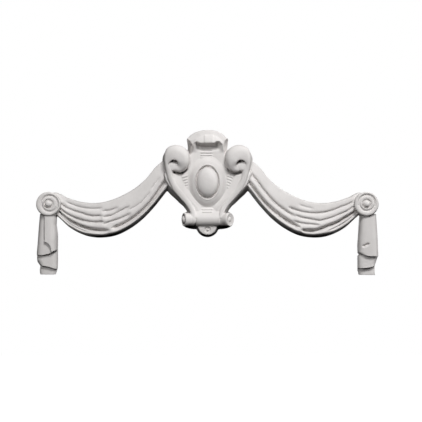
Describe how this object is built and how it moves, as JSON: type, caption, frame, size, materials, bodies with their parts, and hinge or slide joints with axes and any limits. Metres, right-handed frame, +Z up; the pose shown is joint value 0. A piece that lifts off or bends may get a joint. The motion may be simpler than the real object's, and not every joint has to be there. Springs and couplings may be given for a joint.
{
  "type": "door surround swag moulding",
  "caption": "Cast plaster ornament for over a door: a cartouche with an oval boss and scrolled straps, draped swags, roundels and folded tails, with a flat back.",
  "frame": {"origin": "on the flat back, behind the middle of the oval boss", "axes": "+Y into the wall, so the carved front looks along -Y; +X to the right as seen from the front; +Z up"},
  "size_m": [1.0015, 0.0691, 0.4268],
  "materials": {
    "plaster": "matte warm white cast plaster, unpainted, slightly mottled"
  },
  "bodies": {
    "root": {"swag_casting": "plaster"}
  },
  "joints": []
}
